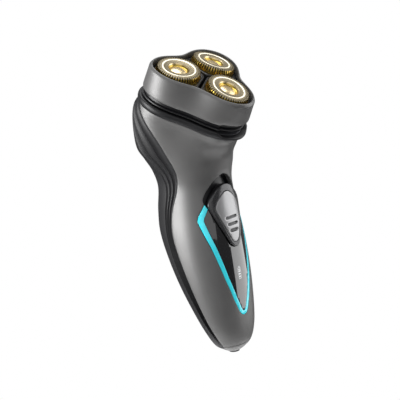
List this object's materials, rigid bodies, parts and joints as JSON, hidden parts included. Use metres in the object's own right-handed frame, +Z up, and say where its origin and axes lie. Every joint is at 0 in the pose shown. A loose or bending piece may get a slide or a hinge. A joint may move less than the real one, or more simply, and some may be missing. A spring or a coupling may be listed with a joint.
{
  "type": "rotary electric shaver",
  "caption": "Handheld rotary shaver with floating round caps on a flip-open lobed head, a waisted handle, a sliding power switch and an internal gear drive.",
  "frame": {"origin": "mouth of the charging socket at the centre of the base", "axes": "+Z up along the handle towards the head, -Y towards the panel and switch, +X to the right of someone facing the panel"},
  "size_m": [0.0572, 0.0658, 0.1561],
  "materials": {
    "graphite_shell": "satin metallic graphite lacquer on moulded plastic",
    "black_rubber": "soft matte black grip plastic",
    "black_plastic": "fine matte black plastic",
    "gloss_black": "polished black panel",
    "cyan_accent": "glossy cyan trim",
    "cap_gold": "gold-toned ground metal",
    "blade_steel": "ground steel",
    "switch_silver": "satin silver plastic",
    "switch_grey": "dark grey plastic",
    "bright_steel": "bright plated steel",
    "motor_steel": "zinc plated steel",
    "white_plastic": "natural acetal",
    "brass": "machined brass",
    "copper_armature": "lacquered copper winding on steel",
    "board_green": "solder mask",
    "cell_wrap": "shrink sleeve",
    "clear_guide": "frosted light guide",
    "seal_rubber": "moulded rubber"
  },
  "bodies": {
    "root": {"hinge_pin": "bright_steel", "collar": "black_plastic", "chamber_plate": "black_plastic", "chamber_seal": "seal_rubber", "motor_plate": "black_plastic", "motor_can": "motor_steel", "motor_end_cap": "white_plastic", "motor_screws": "bright_steel", "front_shell": "graphite_shell", "bottom_cap": "graphite_shell", "back_cover": "black_rubber", "accent_ring": "cyan_accent", "display_panel": "gloss_black", "switch_well": "black_plastic", "switch_bracket": "black_plastic", "slide_switch": "motor_steel", "light_guide": "clear_guide", "status_leds": "clear_guide", "circuit_board": "board_green", "board_screws": "bright_steel", "chassis": "black_plastic", "battery_cell": "cell_wrap", "contact_top": "brass", "contact_bottom": "brass", "charge_socket": "black_plastic", "jack_contacts": "brass", "shell_screws": "bright_steel"},
    "head": {"head_ring": "graphite_shell", "head_lip": "black_plastic", "head_bridge": "black_plastic"},
    "knob": {"lock_knob": "black_plastic"},
    "rotor": {"motor_rotor": "copper_armature", "motor_pinion": "brass"},
    "switch": {"switch_bezel": "switch_grey", "switch_pad": "switch_silver"},
    "spindle_front": {"gear_front": "white_plastic", "coupler_front": "black_plastic"},
    "holder_front": {"holder_front": "black_plastic", "cap_front": "cap_gold"},
    "cutter_front": {"cutter_front": "blade_steel"},
    "spindle_right": {"gear_right": "white_plastic", "coupler_right": "black_plastic"},
    "holder_right": {"holder_right": "black_plastic", "cap_right": "cap_gold"},
    "cutter_right": {"cutter_right": "blade_steel"},
    "spindle_left": {"gear_left": "white_plastic", "coupler_left": "black_plastic"},
    "holder_left": {"holder_left": "black_plastic", "cap_left": "cap_gold"},
    "cutter_left": {"cutter_left": "blade_steel"}
  },
  "joints": [
    {"name": "head_hinge", "type": "hinge", "parent": "root", "child": "head", "pos_m": [0, 0.02363, 0.14343], "axis": [-1, 0, 0], "range_deg": [0, 95]},
    {"name": "knob_turn", "type": "hinge", "parent": "head", "child": "knob", "pos_m": [0, 0.00262, 0.13419], "axis": [0, -0.5373, 0.8434], "range_deg": [0, 90]},
    {"name": "motor_spin", "type": "hinge", "parent": "root", "child": "rotor", "pos_m": [0, 0.01122, 0.1207], "axis": [0, -0.5373, 0.8434], "continuous": true},
    {"name": "switch_slide", "type": "slide", "parent": "root", "child": "switch", "axis": [0, 0.1028, 0.9947], "range_m": [0, 0.0042]},
    {"name": "spindle_front_spin", "type": "hinge", "parent": "root", "child": "spindle_front", "pos_m": [0, -0.0036, 0.11719], "axis": [0, -0.5373, 0.8434], "continuous": true},
    {"name": "cap_front_tilt", "type": "hinge", "parent": "head", "child": "holder_front", "pos_m": [0, -0.01425, 0.13353], "axis": [1, 0, 0], "range_deg": [-2.5, 2.5], "stiffness_Nm_per_rad": 0.02},
    {"name": "cutter_front_spin", "type": "hinge", "parent": "holder_front", "child": "cutter_front", "pos_m": [0, -0.01771, 0.13784], "axis": [0, -0.6252, 0.7804], "continuous": true},
    {"name": "spindle_right_spin", "type": "hinge", "parent": "root", "child": "spindle_right", "pos_m": [0.01245, 0.0146, 0.12878], "axis": [0, -0.5373, 0.8434], "continuous": true},
    {"name": "cap_right_tilt", "type": "hinge", "parent": "head", "child": "holder_right", "pos_m": [0.01263, 0.00421, 0.14528], "axis": [-0.5, 0.7304, 0.4653], "range_deg": [-2.5, 2.5], "stiffness_Nm_per_rad": 0.02},
    {"name": "cutter_right_spin", "type": "hinge", "parent": "holder_right", "child": "cutter_right", "pos_m": [0.01315, 0.0015, 0.15008], "axis": [0.0935, -0.4886, 0.8675], "continuous": true},
    {"name": "spindle_left_spin", "type": "hinge", "parent": "root", "child": "spindle_left", "pos_m": [-0.01245, 0.0146, 0.12878], "axis": [0, -0.5373, 0.8434], "continuous": true},
    {"name": "cap_left_tilt", "type": "hinge", "parent": "head", "child": "holder_left", "pos_m": [-0.01263, 0.00421, 0.14528], "axis": [-0.5, -0.7304, -0.4653], "range_deg": [-2.5, 2.5], "stiffness_Nm_per_rad": 0.02},
    {"name": "cutter_left_spin", "type": "hinge", "parent": "holder_left", "child": "cutter_left", "pos_m": [-0.01315, 0.0015, 0.15008], "axis": [-0.0935, -0.4886, 0.8675], "continuous": true}
  ],
  "couplings": [
    {"joint": "spindle_front_spin", "follows": "motor_spin", "ratio": -0.5},
    {"joint": "cutter_front_spin", "follows": "motor_spin", "ratio": -0.5},
    {"joint": "spindle_right_spin", "follows": "motor_spin", "ratio": -0.5},
    {"joint": "cutter_right_spin", "follows": "motor_spin", "ratio": -0.5},
    {"joint": "spindle_left_spin", "follows": "motor_spin", "ratio": -0.5},
    {"joint": "cutter_left_spin", "follows": "motor_spin", "ratio": -0.5}
  ]
}
